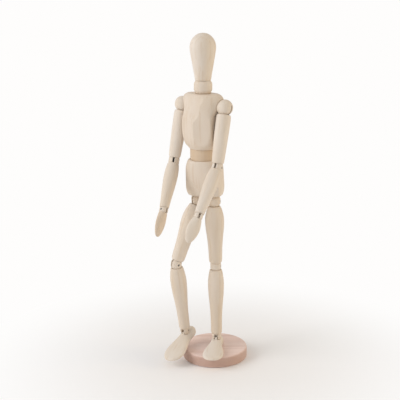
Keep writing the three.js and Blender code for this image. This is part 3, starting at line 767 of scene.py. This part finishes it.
def makeChest():
    d, top, ballHeight, reach = chest, spans["chest"], spans["shoulderHeight"], spans["shoulderOffset"]
    slope = slabTool(d["slopeLow"], d["slopeHigh"])
    tilt = Matrix.Rotation(math.radians(d["slopeTilt"]), 3, "X")
    bmesh.ops.rotate(slope, verts=slope.verts, cent=(0, 0, 0), matrix=tilt)
    bmesh.ops.translate(slope, verts=slope.verts, vec=d["slopeAt"])
    wide, narrow = d["flare"]
    flare = rodTool(wide, top - d["flareLow"], top - d["flareHigh"], "Z", farRadius=narrow)
    cross = rodTool(d["springHole"], -d["crossHalf"], d["crossHalf"], "X")
    studs = rodTool(d["studHole"], -reach, reach, "X")
    for tool in (cross, studs):
        bmesh.ops.translate(tool, verts=tool.verts, vec=(0, 0, ballHeight))
    return carve(growBlock(smoothLine(d["levels"], blockSteps), blockSides), "chestBlank", [
        slope, ballTool(d["waistCup"]), ballTool(d["neckCup"], (0, 0, top)),
        ballTool(d["shoulderCup"], (reach, 0, ballHeight)), ballTool(d["shoulderCup"], (-reach, 0, ballHeight)),
        rodTool(d["springHole"], 0, d["springTop"]), flare, cross, studs,
    ], grit=0.34, passes=2)


deliver(makeChest(), "chest", "chest", "chest", "chest", limewood, seed + 3, 0.6)

# Pelvis: two groin planes leave a V-shaped belly between them
pelvis = dict(
    waistCup=13.75, hipCup=6.65, studHole=1.75, studTop=23.1, flare=(6.4, 3.6), flareLow=15.4, flareHigh=3,
    groinTilt=15.0, groinTurn=21.0, groinAt=(0, -13.5, 12), groinLow=(-30, -20, -30), groinHigh=(30, 0, 14),
    levels=[
        (5.3, 15.2, 8.2, 8.0, 0, 0.1), (5.9, 16.3, 9.6, 9.2, 0, 0.2), (7.2, 17.0, 10.8, 10.2, 0, 0.25),
        (9.4, 17.5, 12.0, 11.2, 0, 0.28), (14, 17.9, 13.2, 12.2, 0, 0.3), (23, 17.7, 13.8, 12.6, 0, 0.26),
        (31, 17.5, 14, 13, 0, 0.24), (35.6, 16.9, 13.9, 13.3, 0, 0.18),
        (39.7, 15.4, 13.7, 13.4, 0, 0.08), (40.7, 13.9, 13.4, 13.3, 0, 0),
    ],
)


def makePelvis():
    d, top, hip = pelvis, spans["pelvis"], spans["hipOffset"]
    wide, narrow = d["flare"]
    flare = rodTool(wide, top - d["flareLow"], top - d["flareHigh"], "Z", farRadius=narrow)
    tools = [ballTool(d["waistCup"], (0, 0, top)), flare]
    for sign in (1, -1):
        groin = slabTool(d["groinLow"], d["groinHigh"])
        tilt = turn("Z", sign * d["groinTurn"]) @ turn("X", d["groinTilt"])
        bmesh.ops.transform(groin, verts=groin.verts, matrix=shift(*d["groinAt"]) @ tilt)
        bore = rodTool(d["studHole"], 0, d["studTop"])
        bmesh.ops.translate(bore, verts=bore.verts, vec=(sign * hip, 0, 0))
        tools += [groin, ballTool(d["hipCup"], (sign * hip, 0, 0)), bore]
    blank = growBlock(smoothLine(d["levels"], blockSteps), blockSides)
    return carve(blank, "pelvisBlank", tools, grit=0.34, passes=2)


deliver(makePelvis(), "pelvis", "pelvis", "pelvis", "pelvis", limewood, seed + 4, 0.4)
print("chest and pelvis carved")

# Hands: a tongue with a round eye turns on the wrist's pin
handShape = dict(
    cup=4.45, tongue=1.2, eye=1.9, tongueRoot=-6.3, pinHalf=3, sides=48,
    levels=[
        (-25.4, 0.7, 0.6, 0.6, 0, 0), (-25.0, 1.7, 1.0, 1.0, 0, 0), (-23.6, 2.9, 1.5, 1.5, 0, 0),
        (-20.6, 4.4, 2.1, 2.0, 0, 0), (-15.8, 5.6, 2.7, 2.4, 0, 0), (-11, 5.9, 3.2, 2.8, 0, 0),
        (-6.4, 5.1, 3.6, 3.3, 0, 0), (-3.3, 4.3, 3.9, 3.8, 0, 0), (-2.5, 3.9, 3.8, 3.7, 0, 0),
    ],
)


def makeHand():
    d = handShape
    t, e = d["tongue"] / 2, d["eye"]
    blank = growBlock(smoothLine(d["levels"], blockSteps), d["sides"])
    return carve(blank, "handBlank", [ballTool(d["cup"])], [
        slabTool((-t, -e, d["tongueRoot"]), (t, e, 0)), rodTool(e, -t, t, "X"),
    ], [rodTool(slit["pinHole"], -d["pinHalf"], d["pinHalf"], "X")], grit=0.2, passes=3)


# Feet: levels run from heel to toe as (reach, half width, sole, top)
footShape = dict(
    cup=5.15, tongue=2.0, eye=1.9, tongueRoot=-7, lip=4.4, lipTop=-0.7, pinHalf=3, pegHole=1.8, pegDepth=6.3, sides=40,
    edgeHeight=0.35, soleBend=0.5, topBend=0.9, sideBend=0.85,
    levels=[
        (-13.6, 2.0, -10.4, -6.4), (-12.4, 4.2, -11.4, -4.4), (-9.2, 5.6, -12.2, -3.0), (-4, 6.0, -12.3, -2.8),
        (0, 5.8, -12.3, -2.8), (5, 6.2, -12.3, -3.1), (11, 7.6, -12.3, -4.0), (17.5, 9.2, -12.3, -5.0),
        (23, 10.0, -12.3, -5.8), (27.5, 9.6, -12.2, -6.5), (31, 8.3, -12.0, -7.2), (33.8, 6.4, -11.7, -8.1),
        (35.6, 4.2, -11.3, -9.0), (36.6, 1.6, -10.9, -9.9),
    ],
)


def makeFoot(withPegHole):
    d = footShape
    rows = smoothLine(d["levels"], blockSteps)
    bm = growBlock([(row[0], 1, 1, 1, 0, 0) for row in rows], d["sides"])
    for vert in bm.verts:
        reach, w, low, high = min(rows, key=lambda row: abs(row[0] - vert.co.z))
        middle = low + d["edgeHeight"] * (high - low)
        x, y = vert.co.x, vert.co.y
        if y > 0:
            rise = -(y ** d["soleBend"]) * (middle - low)
        else:
            rise = abs(y) ** d["topBend"] * (high - middle)
        vert.co = (math.copysign(abs(x) ** d["sideBend"], x) * w, -reach, middle + rise)
    bmesh.ops.recalc_face_normals(bm, faces=bm.faces)
    t, e, root, sole = d["tongue"] / 2, d["eye"], d["tongueRoot"], -spans["ankleHeight"]
    last = [rodTool(slit["pinHole"], -d["pinHalf"], d["pinHalf"], "X")]
    if withPegHole:
        last.append(rodTool(d["pegHole"], sole - 1, sole + d["pegDepth"]))
    return carve(bm, "footBlank", [ballTool(d["cup"])], [
        slabTool((-t, -e, root), (t, e, 0)), slabTool((-t, -d["lip"], root), (t, d["lip"], d["lipTop"])),
        rodTool(e, -t, t, "X"),
    ], last, grit=0.25, passes=4)


handTones = dict(left=0.0, right=1.0)
for side in ("left", "right"):
    hand, foot, isLeft = side + "Hand", side + "Foot", side == "left"
    deliver(makeHand(), hand, hand, side + "_hand", side + "_hand", limewood, seed + 5, handTones[side])
    deliver(makeFoot(isLeft), foot, foot, side + "_foot", side + "_foot", limewood, seed + 6, 0.0, "Y")
    seed += 2
print("hands and feet carved")

# Pins: short rods with rounded ends that show in the beads
pins = dict(radius=0.8, inset=0.4, round=0.25)


def makePin(low, high, along):
    bm = rodTool(pins["radius"], low, high, along, segments=24)
    rims = {edge for face in bm.faces if len(face.verts) > 4 for edge in face.edges}
    bmesh.ops.bevel(bm, geom=list(rims), offset=pins["round"], segments=3, profile=0.5, affect="EDGES", material=-1)
    return bm


for side in ("left", "right"):
    for kind in ("knee", "hip", "elbow", "wrist", "ankle", "shoulder"):
        half = beads[kind][1] - pins["inset"]
        low, along = (shoulder["pinFront"], "Y") if kind == "shoulder" else (-half, "X")
        body = kneeBodies[side] if kind == "knee" else f"{side}_{kind}"
        label = side + kind.title()
        deliver(makePin(low, half, along), label + "Pin", label, body, f"{side}_{kind}_pin", steel, seed)
print("pins set")


# 1 where the eye, a reflection or glass sees a backdrop, so that it shows white and sends no more light to the figure
def seenDirectly(tree):
    ray = addNode(tree, "ShaderNodeLightPath")
    seen = ray.outputs["Is Camera Ray"]
    for label in ("Is Glossy Ray", "Is Transmission Ray"):
        either = addNode(tree, "ShaderNodeMath", operation="MAXIMUM")
        tree.links.new(seen, either.inputs[0])
        tree.links.new(ray.outputs[label], either.inputs[1])
        seen = either.outputs[0]
    return seen


# Floor that sweeps up behind the object, in metres, and fades to white away from it
sweep = dict(
    halfWidth=6, halfDepth=3, bend=0.4, bendSteps=8, wall=3, drop=0.0004, fadeFrom=0.03, fadeTo=0.26,
    colour=(252, 251, 250), white=(254, 253, 252), roughness=0.9, specular=0.1,
)


def makeFloor():
    d = sweep
    bm = bmesh.new()
    bmesh.ops.create_grid(bm, x_segments=2, y_segments=2, size=1)
    bmesh.ops.scale(bm, verts=bm.verts, vec=(d["halfWidth"], d["halfDepth"], 1))
    edge = [e for e in bm.edges if all(v.co.y > d["halfDepth"] - 0.01 for v in e.verts)]
    angles = [math.pi / 2 * (step + 0.5) / d["bendSteps"] for step in range(d["bendSteps"])]
    steps = [(0, d["bend"] * math.cos(angle), d["bend"] * math.sin(angle)) for angle in angles]
    for step in steps + [(0, 0, d["wall"])]:
        raised = bmesh.ops.extrude_edge_only(bm, edges=edge)["geom"]
        bmesh.ops.translate(bm, verts=[g for g in raised if isinstance(g, bmesh.types.BMVert)], vec=step)
        edge = [g for g in raised if isinstance(g, bmesh.types.BMEdge)]
    bmesh.ops.recalc_face_normals(bm, faces=bm.faces)
    floor = looseObject(bm, "floor")
    floor.data.transform(shift(0, 0, -d["drop"]))
    floor.data.shade_smooth()
    material = bpy.data.materials.new("paleFloor")
    material.use_nodes = True
    tree = material.node_tree
    shader = tree.nodes["Principled BSDF"]
    shader.inputs["Base Color"].default_value = linear(*d["colour"])
    shader.inputs["Roughness"].default_value = d["roughness"]
    shader.inputs["Specular IOR Level"].default_value = d["specular"]
    spot = addNode(tree, "ShaderNodeTexCoord")
    reach = addNode(tree, "ShaderNodeVectorMath", operation="LENGTH")
    tree.links.new(spot.outputs["Object"], reach.inputs[0])
    fade = addNode(tree, "ShaderNodeMapRange", interpolation_type="SMOOTHSTEP")
    fade.inputs["From Min"].default_value = d["fadeFrom"]
    fade.inputs["From Max"].default_value = d["fadeTo"]
    tree.links.new(reach.outputs["Value"], fade.inputs["Value"])
    white = addNode(tree, "ShaderNodeEmission")
    white.inputs["Color"].default_value = linear(*d["white"])
    share = addNode(tree, "ShaderNodeMath", operation="MULTIPLY")
    tree.links.new(fade.outputs["Result"], share.inputs[0])
    tree.links.new(seenDirectly(tree), share.inputs[1])
    mix = addNode(tree, "ShaderNodeMixShader")
    tree.links.new(share.outputs[0], mix.inputs[0])
    tree.links.new(shader.outputs["BSDF"], mix.inputs[1])
    tree.links.new(white.outputs["Emission"], mix.inputs[2])
    tree.links.new(mix.outputs["Shader"], tree.nodes["Material Output"].inputs["Surface"])
    floor.data.materials.append(material)


# Lamps: place and target in metres
lamps = dict(
    keyLeft=dict(at=(-2.0, -0.65, 1.25), target=(0, 0, 0.15), size=1.5, energy=25.0, colour=(1.0, 0.985, 0.99)),
    fillRight=dict(at=(1.5, -0.2, 0.55), target=(0, 0, 0.15), size=0.9, energy=6.5, colour=(1.0, 0.78, 0.46)),
)


def makeLight(name, d):
    data = bpy.data.lights.new(name, "AREA")
    data.shape, data.size, data.energy, data.color = "DISK", d["size"], d["energy"], d["colour"]
    obj = bpy.data.objects.new(name, data)
    bpy.context.scene.collection.objects.link(obj)
    obj.location = d["at"]
    obj.rotation_euler = (Vector(d["target"]) - Vector(d["at"])).to_track_quat("-Z", "Y").to_euler()


makeFloor()
for name, lamp in lamps.items():
    makeLight(name, lamp)

world = bpy.data.worlds.new("studio")
bpy.context.scene.world = world
world.use_nodes = True
tree = world.node_tree
glow = tree.nodes["Background"]
glow.inputs["Color"].default_value = (1.0, 0.99, 0.985, 1.0)
level = addNode(tree, "ShaderNodeMapRange")
level.inputs["To Min"].default_value = 0.57  # what lights the figure
level.inputs["To Max"].default_value = 1.0  # what shows behind it
tree.links.new(seenDirectly(tree), level.inputs["Value"])
tree.links.new(level.outputs["Result"], glow.inputs["Strength"])

# the photo's camera: focal length in widths of the picture, place in metres, tilt and roll in degrees
view = dict(sensor=36.0, focalShare=672 / 400, at=(-0.0135, -0.6392, 0.2805), down=10.75, roll=-0.6, nearest=0.01)
camera = bpy.data.cameras.new("camera")
camera.sensor_fit, camera.sensor_width = "HORIZONTAL", view["sensor"]
camera.lens, camera.clip_start = view["sensor"] * view["focalShare"], view["nearest"]
eye = bpy.data.objects.new("camera", camera)
bpy.context.scene.collection.objects.link(eye)
eye.matrix_world = shift(*view["at"]) @ turn("X", 90 - view["down"]) @ turn("Z", view["roll"])
bpy.context.scene.camera = eye
bpy.context.scene.view_settings.view_transform = "Standard"
print("floor, light and camera set")
